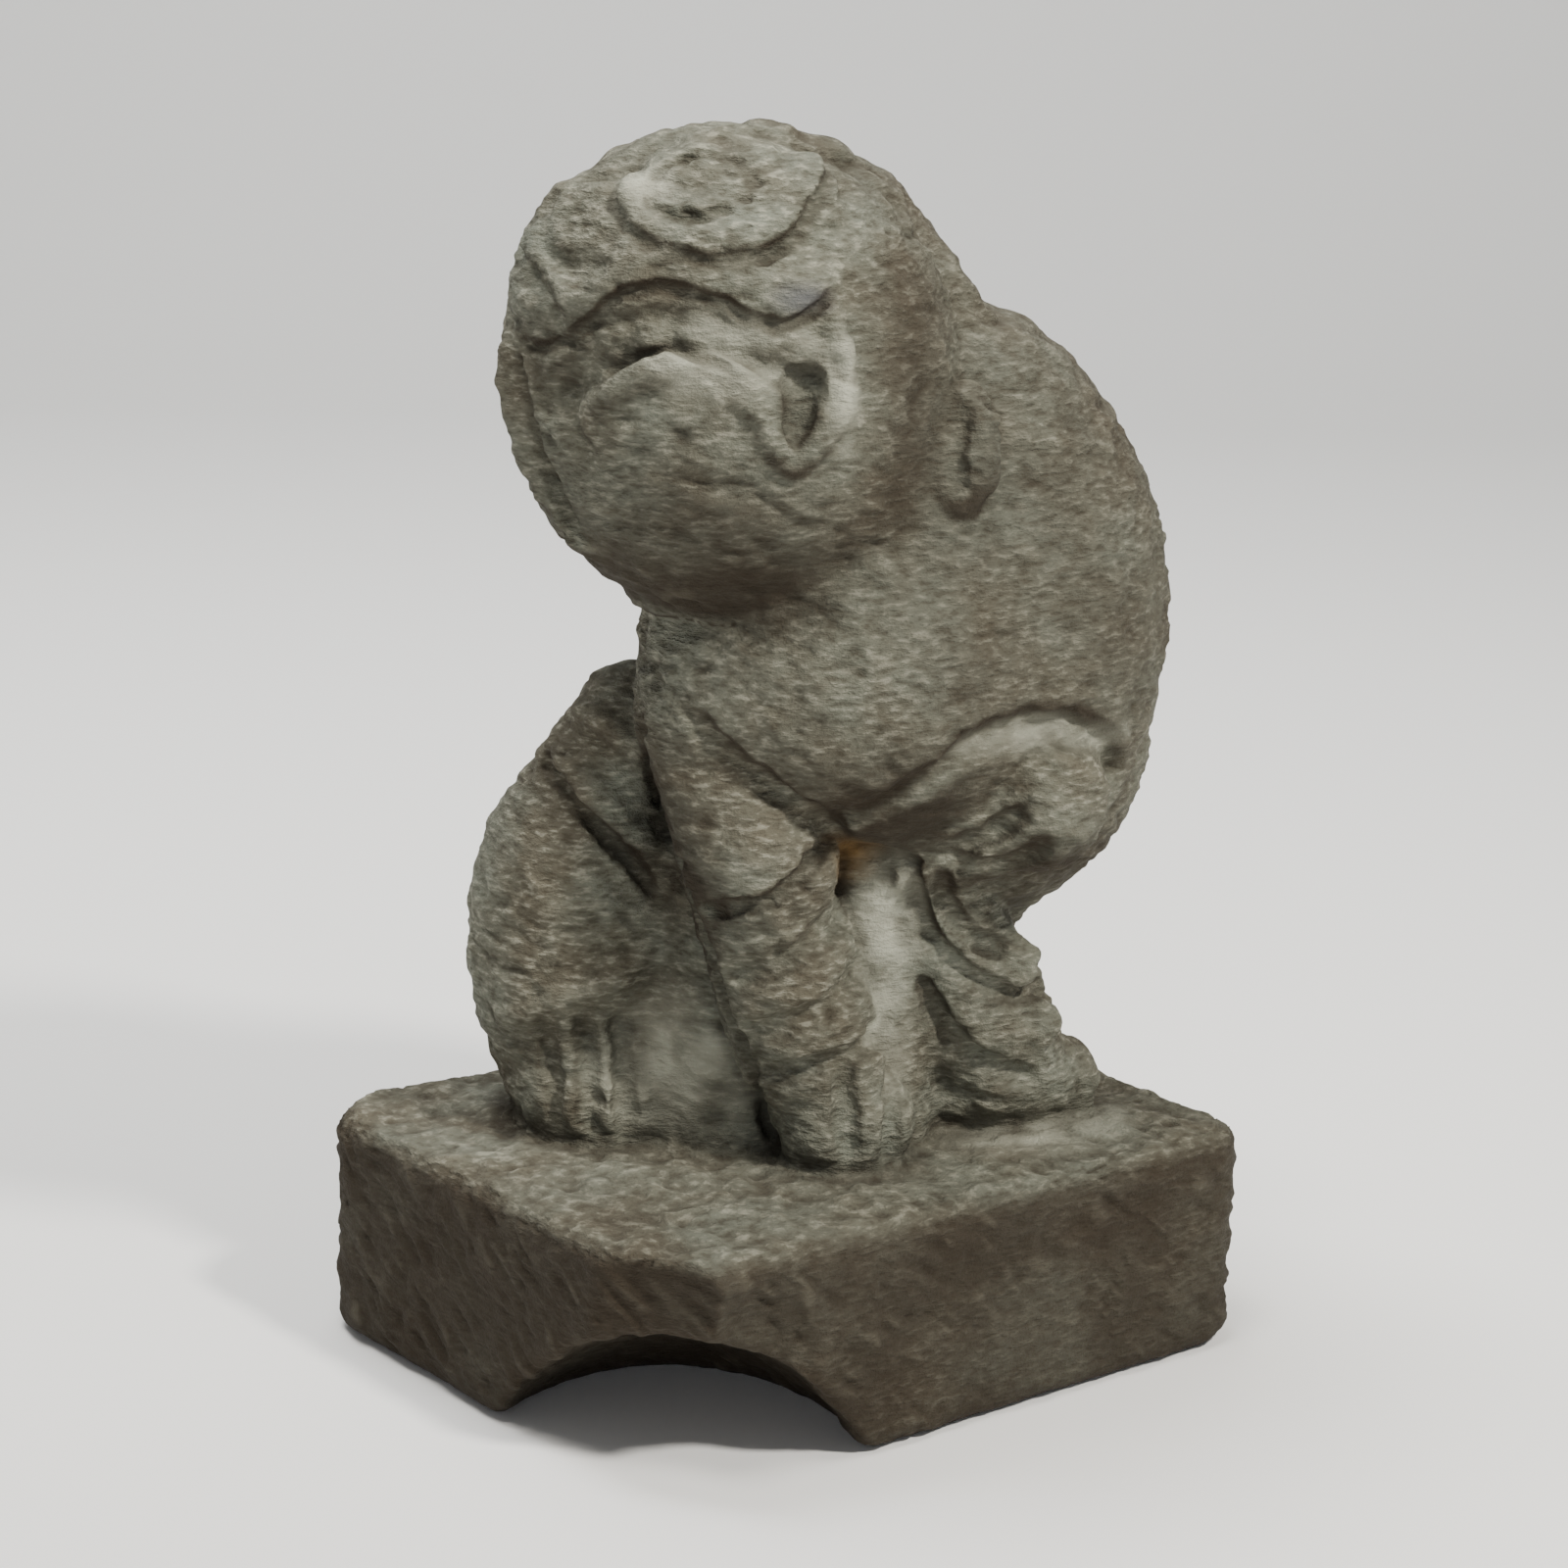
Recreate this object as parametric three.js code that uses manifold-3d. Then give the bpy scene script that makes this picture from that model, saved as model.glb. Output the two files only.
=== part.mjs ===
// A squatting guardian beast carved with its slab from one block of coarse stone.
// Millimetres, +Z up. The origin is under the middle of the slab and the beast's body faces -X,
// with its heavy head turned to its left, towards -X and -Y, and tilted back.
import * as THREE from "three";
import { mergeVertices } from "three/addons/utils/BufferGeometryUtils.js";
import Module from "manifold-3d";

const wasm = await Module();
wasm.setup();

// Driving sizes
const SLAB = { length: 345, width: 284, height: 105, edge: 11 };
const SLAB_CORNERS = { frontLeft: 14, frontRight: 40, backLeft: 30, backRight: 30 };
const BREAK = { reach: 215, half: 125, rise: 186, depth: 115, heading: 51.7, outside: [4.5, 5] };
const SCARS = [
  { at: [-218, -156, 50], half: [81, 81, 130] },
  { at: [-123, -179, 55], half: [49, 49, 60] },
];
const HEAD = { at: [-46.5, -7, 469], radius: 95, turn: 212.4, pitch: 23.7, tilt: -26.6 };
const CHIN = { at: [-37.5, -15, 432], radius: 84 };
const MANE = { at: [-8, 14, 460], radius: 94 };
const TRUNK = { at: [76, -18, 341], half: [97, 108, 136] };
const BODY_MIDDLE = -14; // y of the plane that the hind legs mirror each other across
const HIND_STAGGER = 6; // the far hind leg stands this far behind the near one
const CELL = 4; // the carving is first meshed on a grid this fine
const BEAST_FACES = 8800; // and then thinned out to this many faces
const GROUND = SLAB.height; // the feet stand on the slab's top

const FAR = 1000;
const rad = THREE.MathUtils.degToRad;
const vec = (p) => new THREE.Vector3(...p);

// Shapes are distances from their surface, negative inside, with a sphere that holds them
function ball(centre, half, axes = null) {
  const c = vec(centre);
  const h = Array.isArray(half) ? half : [half, half, half];
  const q = new THREE.Vector3();
  return {
    centre: c,
    reach: Math.max(...h),
    at(p) {
      q.subVectors(p, c);
      const l = axes ? axes.map((a) => q.dot(a)) : [q.x, q.y, q.z];
      const near = Math.hypot(l[0] / h[0], l[1] / h[1], l[2] / h[2]);
      const steep = Math.hypot(l[0] / h[0] ** 2, l[1] / h[1] ** 2, l[2] / h[2] ** 2);
      return steep > 0 ? (near * (near - 1)) / steep : -Math.min(...h);
    },
  };
}

// A round stroke along points, with a radius at each; a smooth one runs on a curve through them
function rod(points, radii, smooth = 0) {
  let at = points.map((p) => (p.isVector3 ? p : vec(p)));
  let r = Array.isArray(radii) ? radii : points.map(() => radii);
  if (smooth) {
    const steps = (at.length - 1) * smooth;
    const swell = new THREE.SplineCurve(r.map((v) => new THREE.Vector2(v, 0)));
    r = [...Array(steps + 1).keys()].map((i) => swell.getPoint(i / steps).x);
    const path = new THREE.CatmullRomCurve3(at, false, "catmullrom");
    at = [...Array(steps + 1).keys()].map((i) => path.getPoint(i / steps));
  }
  const bounds = new THREE.Box3().setFromPoints(at).getBoundingSphere(new THREE.Sphere());
  const spans = at.slice(1).map((end, i) => new THREE.Line3(at[i], end));
  const foot = new THREE.Vector3();
  return {
    centre: bounds.center,
    reach: bounds.radius + Math.max(...r),
    at(p) {
      let least = FAR;
      spans.forEach((span, i) => {
        const t = span.closestPointToPointParameter(p, true);
        least = Math.min(least, span.at(t, foot).distanceTo(p) - r[i] - t * (r[i + 1] - r[i]));
      });
      return least;
    },
  };
}

// The lesser of two distances, with a fillet of width k where they meet
function melt(a, b, k) {
  const h = k > 0 ? Math.max(k - Math.abs(a - b), 0) / k : 0;
  return Math.min(a, b) - (h * h * k) / 4;
}

// Stone built up and cut back in order
class Carving {
  constructor() {
    this.steps = [];
  }
  add(shape, fillet = 0) {
    this.steps.push({ shape, fillet, cut: false });
    return this;
  }
  cut(shape, fillet = 0) {
    this.steps.push({ shape, fillet, cut: true });
    return this;
  }
  at(p) {
    let d = FAR;
    for (const { shape, fillet, cut } of this.steps) {
      const margin = fillet + 3 * CELL;
      if (shape.centre && shape.centre.distanceTo(p) > shape.reach + margin) continue;
      const v = shape.at(p);
      d = cut ? -melt(-d, v, fillet) : melt(d, v, fillet);
    }
    return d;
  }
}

// A shape seen in a mirror across the body's middle, and moved back along it
function mirrored(shape, back) {
  const q = new THREE.Vector3();
  return { at: (p) => shape.at(q.set(p.x - back, 2 * BODY_MIDDLE - p.y, p.z)) };
}

// The side that most of the beast is carved from: its left, and a little in front of it
const CARVED_FROM = vec([-0.62, -0.78, 0.1]).normalize();
const UP = vec([0, 0, 1]);
const ACROSS = UP.clone().cross(CARVED_FROM).normalize();

// The head's own axes: forward out of the face, to its left, and up through the crown
const headTurn = new THREE.Matrix4()
  .makeRotationZ(rad(HEAD.turn))
  .multiply(new THREE.Matrix4().makeRotationY(-rad(HEAD.pitch)))
  .multiply(new THREE.Matrix4().makeRotationX(-rad(HEAD.tilt)));
const [FORE, LEFT, CROWN] = [0, 1, 2].map((i) =>
  new THREE.Vector3().setFromMatrixColumn(headTurn, i),
);

// Direction from the head's middle, by degrees round to its left and up
function headWay(left, up) {
  const [a, b] = [rad(left), rad(up)];
  return FORE.clone()
    .multiplyScalar(Math.cos(b) * Math.cos(a))
    .addScaledVector(LEFT, Math.cos(b) * Math.sin(a))
    .addScaledVector(CROWN, Math.sin(b));
}

// A point out mm proud of the head's skin, which is the cranium or the chin
function skin(left, up, out = 0) {
  const way = headWay(left, up);
  const offset = vec(CHIN.at).sub(vec(HEAD.at));
  const along = offset.dot(way);
  const h = along ** 2 - offset.lengthSq() + CHIN.radius ** 2;
  const reach = Math.max(HEAD.radius, h > 0 ? along + Math.sqrt(h) : 0);
  return vec(HEAD.at).addScaledVector(way, reach + out);
}

// Axes of a lump on the skin: across the face, up it, and out of it, rolled by some degrees
function facing(left, up, roll = 0) {
  const out = headWay(left, up);
  const across = headWay(left + 1, up).sub(headWay(left - 1, up)).normalize();
  const rise = new THREE.Vector3().crossVectors(out, across);
  across.applyAxisAngle(out, rad(roll));
  rise.applyAxisAngle(out, rad(roll));
  return [across, rise, out];
}

const lump = (stone, [left, up], half, out, roll = 0, fillet = 7) =>
  stone.add(ball(skin(left, up, out).toArray(), half, facing(left, up, roll)), fillet);

// Moves a point along a way until it meets the stone, and then lifts it out of it
function landed(stone, start, way, out) {
  const p = start.clone();
  const nearest = start.clone();
  let least = FAR;
  for (let i = 0; i < 340 && least > 0; i++) {
    const d = stone.at(p);
    if (d < least) {
      least = d;
      nearest.copy(p);
    }
    p.addScaledVector(way, -1);
  }
  return nearest.addScaledVector(way, out + least);
}

// Drops a path onto the carved side, given by mm across to the right and up, seen from there
const onSide = (stone, path, out) =>
  path.map(([across, up]) => {
    const start = new THREE.Vector3().addScaledVector(ACROSS, across).addScaledVector(UP, up);
    return landed(stone, start.addScaledVector(CARVED_FROM, 170), CARVED_FROM, out);
  });

// Drops a path onto the face, given by degrees round to the left and up
const onFace = (stone, path, out) =>
  path.map(([left, up]) => {
    const way = headWay(left, up);
    return landed(stone, vec(HEAD.at).addScaledVector(way, 130), way, out);
  });

// A valley of this width and depth along a path, running out at both its ends
function groove(stone, drop, path, width, depth, fillet = 2) {
  const radius = (width ** 2 / 4 + depth ** 2) / (2 * depth);
  const radii = path.map((_, i) => (i === 0 || i === path.length - 1 ? radius - depth : radius));
  stone.cut(rod(drop(stone, path, radius - depth), radii, 4), fillet);
}

function ridge(stone, drop, path, width, height, fillet = 3) {
  const radius = (width ** 2 / 4 + height ** 2) / (2 * height);
  const radii = path.map((_, i) => (i === 0 || i === path.length - 1 ? radius - height : radius));
  stone.add(rod(drop(stone, path, height - radius), radii, 4), fillet);
}

// A lump on the carved side: its half sizes across, up and out
function boss(stone, place, half, out = 0, fillet = 4) {
  const [at] = onSide(stone, [place], out);
  const rise = CARVED_FROM.clone().cross(ACROSS);
  stone.add(ball(at.toArray(), half, [ACROSS, rise, CARVED_FROM]), fillet);
}

// The masses of brow, nose, eyes and muzzle, before anything is cut into them
function buildFace(stone) {
  stone.add(ball([-111, 4, 514], 33), 14);
  lump(stone, [-37, 20], [18, 24, 14], -6, 0, 8);
  lump(stone, [3, 50], [24, 12, 9], -6, 10, 7);
  lump(stone, [45, 40], [30, 11, 9], -6, -10, 7);
  lump(stone, [-6, 20], [12, 25, 11], -5, 8, 8);
  lump(stone, [-4, 4], [44, 13, 12], -7, -6, 10);
  lump(stone, [25, -9], [30, 12, 11], -7, -16, 10);
  lump(stone, [27, 19], [46, 32, 16], -8, -12, 5);
  lump(stone, [36, -15], [17, 10, 10], -3, 10, 5);
}

// The lids, the ring of the iris, and the nostrils
function carveEyes(stone) {
  const lid = [[0, 28], [0, 17], [5, 8], [13, 3], [26, 2], [38, 6], [48, 15], [55, 27]];
  ridge(stone, onFace, lid, 13, 3, 4);
  const under = [[-3, 29], [-3, 18], [2, 7], [14, -2], [26, -4], [37, -1], [46, 7], [57, 26]];
  groove(stone, onFace, under, 11, 5);
  const iris = [...Array(14).keys()].map((i) => [
    17 + 11 * Math.sin(rad(30 * i)),
    22 + 8 * Math.cos(rad(30 * i)),
  ]);
  groove(stone, onFace, iris, 9, 2.6);
  groove(stone, onFace, [[-24, 30], [-25, 22], [-22, 16], [-14, 12]], 13, 3);
  groove(stone, onFace, [[-41, 32], [-38, 24], [-31, 15], [-28, 6], [-29, -1]], 12, 4);
}

// The open mouth with its teeth, under a lip that turns down over a fang, and a torn corner
function carveMouth(stone) {
  const gape = [[-44, -14], [-34, -14], [-21, -13], [-8, -14], [3, -19], [13, -24], [24, -29], [34, -31]];
  groove(stone, onFace, gape, 26, 6, 3);
  stone.cut(rod(onFace(stone, [[30, -36], [28, -43], [26, -50]], 3), [14, 10, 4], 3), 3);
  lump(stone, [-7, -13], [13, 10, 8], -8, -20, 2);
  lump(stone, [7, -20], [12, 10, 8], -8, -20, 2);
  lump(stone, [28, -28], [13, 14, 9], -6, -10, 2);
  const corner = [[43, -19], [43, -33], [41, -42], [35, -51], [25, -55], [20, -48], [16, -39], [13, -31]];
  ridge(stone, onFace, corner, 12, 3.5);
  ridge(stone, onFace, [[-32, -19], [-24, -19], [-15, -21], [-4, -25], [7, -29], [14, -33]], 11, 3);
  const lip = [
    [-44, 4], [-36, -2], [-27, -4], [-18, -4], [-8, -2], [3, -6],
    [14, -12], [20, -19], [28, -22], [38, -20], [50, -20],
  ];
  groove(stone, onFace, lip, 10, 4.5);
  groove(stone, onFace, [[-35, -12], [-38, -17], [-40, -23], [-39, -30]], 11, 3.5);
}

// The far ear, curls, and the thick rim of the mane behind the near cheek
function carveHair(stone) {
  ridge(stone, onFace, [[-54, 12], [-58, 2], [-62, -11], [-66, -25], [-72, -38], [-78, -46]], 16, 6);
  groove(stone, onFace, [[-49, 2], [-51, -8], [-55, -18], [-60, -29], [-67, -39]], 11, 4);
  for (const at of [[79, 36], [86, 24], [62, 46]]) lump(stone, at, [14, 14, 9], -3, 0, 5);
  stone.add(ball([-16, -17, 531], 28), 8).add(ball([5, -24, 519], 30), 8);
  const rim = [[23, -28, 530], [27, -41, 512], [35, -54, 492], [39, -60, 477], [26, -72, 462], [16, -79, 448]];
  stone.add(rod(rim, [11, 13, 15, 15, 12, 8], 4), 6);
}

function carveHead() {
  const stone = new Carving();
  stone.add(ball(HEAD.at, HEAD.radius)).add(ball(CHIN.at, CHIN.radius), 45);
  buildFace(stone);
  carveEyes(stone);
  carveMouth(stone);
  stone.add(ball(MANE.at, MANE.radius), 5);
  carveHair(stone);
  return stone;
}

// Back, belly and haunches, and a tail laid flat up the back
function carveTrunk() {
  const tail = [[126, -8, 198], [142, -10, 222], [150, -12, 250], [155, -14, 280], [156, -8, 306]];
  return new Carving()
    .add(ball(TRUNK.at, TRUNK.half))
    .add(ball([-3, -52, 324], [74, 72, 74]), 34)
    .add(ball([75, -10, 262], [75, 92, 54]), 36)
    .add(rod([[12, -18, 405], [-24, -8, 355], [-46, -14, 335], [-56, -20, 308]], [78, 48, 40, 35]), 40)
    .add(ball([55, -50, 434], 45), 30)
    .add(rod([[62, -4, 215], [54, -2, 104]], [56, 52]), 24)
    .add(rod([[12, 4, 230], [10, 6, 104]], [44, 46]), 20)
    .add(rod(tail, [11, 13, 13, 12, 8], 4), 5)
    .add(rod([[150, -6, 262], [155, -22, 284], [153, -36, 298]], [10, 10, 7], 4), 4);
}

// A round knob at the hip, the thigh forward to the knee, and the shank back and down to a long foot
function carveHindLeg() {
  const stone = new Carving()
    .add(ball([59, -106, 272], [30, 30, 31]))
    .add(rod([[58, -103, 270], [38, -88, 258], [16, -74, 248]], [27, 25, 21], 3), 6)
    .add(rod([[34, -64, 222], [57, -60, 176], [77, -60, 136]], [24, 34, 32], 3), 5)
    .add(rod([[56, -56, 122], [86, -66, 125], [111, -66, 121]], [17, 23, 20], 3), 6);
  // folds of skin under the thigh, and locks of hair swept back down the shank
  groove(stone, onSide, [[44, 250], [59, 254], [72, 249], [86, 252], [99, 262]], 11, 4);
  groove(stone, onSide, [[36, 238], [48, 240], [67, 242], [81, 237], [99, 238], [114, 248]], 12, 5);
  groove(stone, onSide, [[52, 240], [56, 226], [60, 212], [67, 198], [84, 183], [106, 174], [128, 170]], 11, 4);
  groove(stone, onSide, [[66, 236], [72, 218], [80, 206], [94, 197], [114, 194]], 11, 4);
  groove(stone, onSide, [[42, 232], [44, 214], [50, 196], [60, 178], [72, 160], [86, 144], [122, 130]], 12, 5);
  boss(stone, [104, 188], [13, 11, 9], -3);
  boss(stone, [115, 158], [12, 11, 9], -3);
  return stone;
}

// The far foreleg: tufts at the shoulder, a cuff, and toes
function carveFarForeleg() {
  const stone = new Carving()
    .add(rod([[-56, 38, 290], [-68, 55, 249], [-71, 63, 214], [-69, 63, 167], [-63, 60, 130]],
      [33, 39, 51, 52, 45], 4))
    .add(ball([-80, 38, GROUND + 18], [36, 38, 26]), 14);
  ridge(stone, onSide, [[-100, 304], [-88, 300], [-76, 292], [-64, 280], [-52, 264]], 15, 5);
  ridge(stone, onSide, [[-112, 291], [-102, 281], [-88, 266], [-74, 250], [-60, 234]], 15, 6);
  groove(stone, onSide, [[-112, 276], [-102, 267], [-90, 254], [-74, 236], [-58, 218]], 11, 5);
  ridge(stone, onSide, [[-131, 156], [-115, 164], [-96, 171], [-78, 178], [-64, 190]], 12, 2.5);
  for (const across of [-105, -88, -71]) {
    const toe = [[across - 3, 160], [across - 1, 136], [across + 2, 115], [across + 3, 108]];
    groove(stone, onSide, toe, 11, 4);
  }
  return stone;
}

// The near foreleg: the upper arm hangs over the forearm like a short sleeve
function carveNearForeleg() {
  const stone = new Carving()
    .add(rod([[-54, -38, 240], [-43, -47, 210], [-31, -50, 172], [-20, -53, 148]], [28, 33, 34, 31], 3))
    .add(ball([-14, -63, GROUND + 18], [33, 29, 26]), 8)
    .add(rod([[-66, -25, 300], [-60, -33, 280], [-54, -43, 256], [-51, -46, 244]], [26, 31, 35, 35], 3), 2);
  groove(stone, onSide, [[-36, 218], [-26, 222], [-12, 225], [2, 233], [14, 246], [20, 256]], 11, 3.5);
  groove(stone, onSide, [[-26, 190], [-8, 196], [12, 206], [34, 222]], 13, 2.4, 3);
  groove(stone, onSide, [[-18, 163], [2, 169], [22, 178], [42, 196]], 13, 2.4, 3);
  groove(stone, onSide, [[-12, 145], [0, 146], [17, 150], [35, 155], [52, 166]], 11, 4.5);
  for (const across of [28, 49]) {
    const toe = [[across - 2, 154], [across, 131], [across + 1, 112], [across + 1, 105]];
    groove(stone, onSide, toe, 13, 4.5);
  }
  return stone;
}

// The whole beast, let a little way down into the slab, with the stone left between its legs
function carveBeast() {
  const hindLeg = carveHindLeg();
  const stone = new Carving()
    .add(carveTrunk())
    .add(hindLeg, 3)
    .add(mirrored(hindLeg, HIND_STAGGER), 3)
    .add(rod([[-15, 7, 219], [-23, 13, 114]], [48, 52]), 12)
    .add(rod([[6, -34, 236], [20, -34, 114]], [26, 27]), 10)
    .add(carveFarForeleg(), 12)
    .add(carveNearForeleg(), 3)
    .add(carveHead(), 14);
  const overThigh = [[18, 258], [40, 266], [64, 282], [84, 297], [104, 303], [126, 301], [144, 290], [150, 274]];
  groove(stone, onSide, overThigh, 15, 5, 4);
  const besideArm = [[-66, 300], [-60, 272], [-49, 242], [-38, 211], [-24, 168], [-12, 136], [-4, 106]];
  groove(stone, onSide, besideArm, 11, 6);
  boss(stone, [70, 422], [19, 30, 15], -4, 3);
  groove(stone, onSide, [[73, 446], [68, 434], [67, 420], [70, 404]], 12, 6);
  return stone;
}

// Turns a carving into a closed faceted mesh: one vertex in each cell that the surface crosses,
// and one four-sided face across each edge of the grid that it crosses
function facets(stone, low, high) {
  const size = [0, 1, 2].map((n) => Math.ceil((high[n] - low[n]) / CELL) + 1);
  const key = (i, j, k) => (i * size[1] + j) * size[2] + k;
  const place = (...at) => new THREE.Vector3(...at.map((v, n) => low[n] + v * CELL));
  const field = new Float64Array(size[0] * size[1] * size[2]);
  const each = (from, visit) => {
    for (let i = from; i < size[0] - 1; i++)
      for (let j = from; j < size[1] - 1; j++)
        for (let k = from; k < size[2] - 1; k++) visit(i, j, k);
  };
  each(1, (i, j, k) => {
    field[key(i, j, k)] = stone.at(place(i, j, k));
  });
  for (let i = 0; i < size[0]; i++)
    for (let j = 0; j < size[1]; j++)
      for (let k = 0; k < size[2]; k++)
        if ([i, j, k].some((v, n) => v === 0 || v === size[n] - 1)) field[key(i, j, k)] = FAR;

  fillPinches(field, each, key);
  fillHollows(field, size);

  const corners = [...Array(8).keys()].map((n) => [n & 1, (n >> 1) & 1, (n >> 2) & 1]);
  const edges = corners.flatMap((a) =>
    [0, 1, 2].filter((n) => !a[n]).map((n) => [a, a.map((v, m) => (m === n ? 1 : v))]),
  );
  const points = [];
  const number = new Map();
  each(0, (i, j, k) => {
    const sum = new THREE.Vector3();
    let crossed = 0;
    for (const [a, b] of edges) {
      const [u, v] = [a, b].map((c) => field[key(i + c[0], j + c[1], k + c[2])]);
      if (u < 0 === v < 0) continue;
      const from = place(i + a[0], j + a[1], k + a[2]);
      sum.add(from.lerp(place(i + b[0], j + b[1], k + b[2]), u / (u - v)));
      crossed++;
    }
    if (!crossed) return;
    number.set(key(i, j, k), points.length);
    points.push(settle(stone, sum.divideScalar(crossed)));
  });

  const faces = [];
  each(0, (i, j, k) => {
    const inside = field[key(i, j, k)] < 0;
    [[1, 0, 0], [0, 1, 0], [0, 0, 1]].forEach(([x, y, z], axis) => {
      if (inside === field[key(i + x, j + y, k + z)] < 0) return;
      const s = [0, 1, 2].map((n) => (n === (axis + 1) % 3 ? 1 : 0));
      const t = [0, 1, 2].map((n) => (n === (axis + 2) % 3 ? 1 : 0));
      const quad = [[1, 1], [0, 1], [0, 0], [1, 0]].map(([a, b]) =>
        number.get(key(i - a * s[0] - b * t[0], j - a * s[1] - b * t[1], k - a * s[2] - b * t[2])),
      );
      const [a, b, c, d] = inside ? quad : quad.reverse();
      const short = points[a].distanceTo(points[c]) < points[b].distanceTo(points[d]);
      faces.push(...(short ? [[a, b, c], [a, c, d]] : [[a, b, d], [b, c, d]]));
    });
  });
  return { points, faces };
}

// How far a face's plane is from any point, squared, as the ten terms of a quadric
function planeTerms(p, q, r) {
  const n = q.clone().sub(p).cross(r.clone().sub(p)).normalize();
  const [a, b, c, d] = [n.x, n.y, n.z, -n.dot(p)];
  return [a * a, a * b, a * c, a * d, b * b, b * c, b * d, c * c, c * d, d * d];
}

function offPlanes(q, { x, y, z }) {
  return q[0] * x * x + q[4] * y * y + q[7] * z * z + q[9]
    + 2 * (q[1] * x * y + q[2] * x * z + q[3] * x + q[5] * y * z + q[6] * y + q[8] * z);
}

// The place for two joined vertices: where the planes come nearest, or half way between
function bestPlace(q, a, b) {
  const m = new THREE.Matrix3().set(q[0], q[1], q[2], q[1], q[4], q[5], q[2], q[5], q[7]);
  const half = a.clone().lerp(b, 0.5);
  if (Math.abs(m.determinant()) < 0.01) return half;
  const best = new THREE.Vector3(-q[3], -q[6], -q[8]).applyMatrix3(m.invert());
  return best.distanceTo(half) < a.distanceTo(b) ? best : half;
}

// Thins a closed mesh out, joining first the vertices whose loss moves the surface least
function thinOut({ points, faces }, wanted) {
  const round = points.map(() => new Set());
  const terms = points.map(() => Array(10).fill(0));
  faces.forEach((face, n) => {
    const plane = planeTerms(...face.map((i) => points[i]));
    for (const i of face) {
      round[i].add(n);
      plane.forEach((v, m) => (terms[i][m] += v));
    }
  });
  const neighbours = (i) => new Set([...round[i]].flatMap((n) => faces[n]));
  const upright = (i, other, spot) =>
    [...round[i]].every((n) => {
      if (faces[n].includes(other)) return true;
      const [before, after] = [points[i], spot].map((at) => {
        const [p, q, r] = faces[n].map((k) => (k === i ? at : points[k]));
        return q.clone().sub(p).cross(r.clone().sub(p));
      });
      return after.length() > 0.5 && before.normalize().dot(after.normalize()) > 0.5;
    });
  let left = faces.length;
  for (let bound = 0.002; left > wanted; bound *= 1.5) {
    for (let n = 0; n < faces.length && left > wanted; n++) {
      for (const e of [0, 1, 2]) {
        if (!faces[n]) break;
        const [a, b] = [faces[n][e], faces[n][(e + 1) % 3]];
        const sum = terms[a].map((v, m) => v + terms[b][m]);
        const spot = bestPlace(sum, points[a], points[b]);
        if (offPlanes(sum, spot) > bound) continue;
        const ofB = neighbours(b);
        if ([...neighbours(a)].filter((i) => ofB.has(i)).length !== 4) continue;
        if (!upright(a, b, spot) || !upright(b, a, spot)) continue;
        points[a] = spot;
        terms[a] = sum;
        for (const m of round[b]) {
          if (faces[m].includes(a)) {
            for (const i of faces[m]) if (i !== b) round[i].delete(m);
            faces[m] = null;
            left--;
          } else {
            faces[m] = faces[m].map((i) => (i === b ? a : i));
            round[a].add(m);
          }
        }
        round[b].clear();
      }
    }
  }
  const geometry = new THREE.BufferGeometry();
  const places = points.flatMap((p) => p.toArray());
  geometry.setAttribute("position", new THREE.Float32BufferAttribute(places, 3));
  geometry.setIndex(faces.filter(Boolean).flat());
  return geometry;
}

// Fills what the air outside can't reach, such as a stroke that ran under the surface
function fillHollows(field, size) {
  const steps = [size[1] * size[2], size[2], 1].flatMap((v) => [v, -v]);
  const air = new Uint8Array(field.length);
  const front = [0];
  air[0] = 1;
  while (front.length) {
    const at = front.pop();
    for (const next of steps.map((v) => at + v)) {
      if (next < 0 || next >= field.length || air[next] || field[next] < 0) continue;
      air[next] = 1;
      front.push(next);
    }
  }
  field.forEach((v, n) => {
    if (v >= 0 && !air[n]) field[n] = -0.01;
  });
}

// Fills in stone that would meet only along an edge of the grid, so that the surface stays simple
function fillPinches(field, each, key) {
  const sides = [[[1, 0, 0], [0, 1, 0]], [[0, 1, 0], [0, 0, 1]], [[0, 0, 1], [1, 0, 0]]];
  let filled;
  do {
    filled = 0;
    each(1, (i, j, k) => {
      for (const [u, v] of sides) {
        const at = [[0, 0], [1, 0], [1, 1], [0, 1]].map(([a, b]) =>
          key(i + a * u[0] + b * v[0], j + a * u[1] + b * v[1], k + a * u[2] + b * v[2]),
        );
        const [a, b, c, d] = at.map((n) => field[n] < 0);
        if (a !== c || b !== d || a === b) continue;
        const open = at.filter((n) => field[n] >= 0 && field[n] < FAR);
        field[open.sort((m, n) => field[m] - field[n])[0]] = -0.01;
        filled++;
      }
    });
  } while (filled);
}

// Moves a vertex onto the carved surface, by no more than half a cell
function settle(stone, start) {
  const p = start.clone();
  const step = 0.5;
  for (const round of [1, 2]) {
    const here = stone.at(p);
    const slope = [[step, 0, 0], [0, step, 0], [0, 0, step]].map(
      (s) => (stone.at(p.clone().add(vec(s))) - here) / step,
    );
    const steep = slope.reduce((sum, v) => sum + v * v, 0);
    if (steep > 0.2) p.addScaledVector(vec(slope), -here / (round * steep));
  }
  return p.distanceTo(start) < CELL / 2 ? p : start;
}

// A closed geometry as a solid that can be joined and cut
function solid(geometry) {
  const bare = geometry.clone();
  bare.deleteAttribute("normal");
  bare.deleteAttribute("uv");
  const merged = mergeVertices(bare, 1e-3);
  return new wasm.Manifold(
    new wasm.Mesh({
      numProp: 3,
      vertProperties: new Float32Array(merged.attributes.position.array),
      triVerts: new Uint32Array(merged.index.array),
    }),
  );
}

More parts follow.
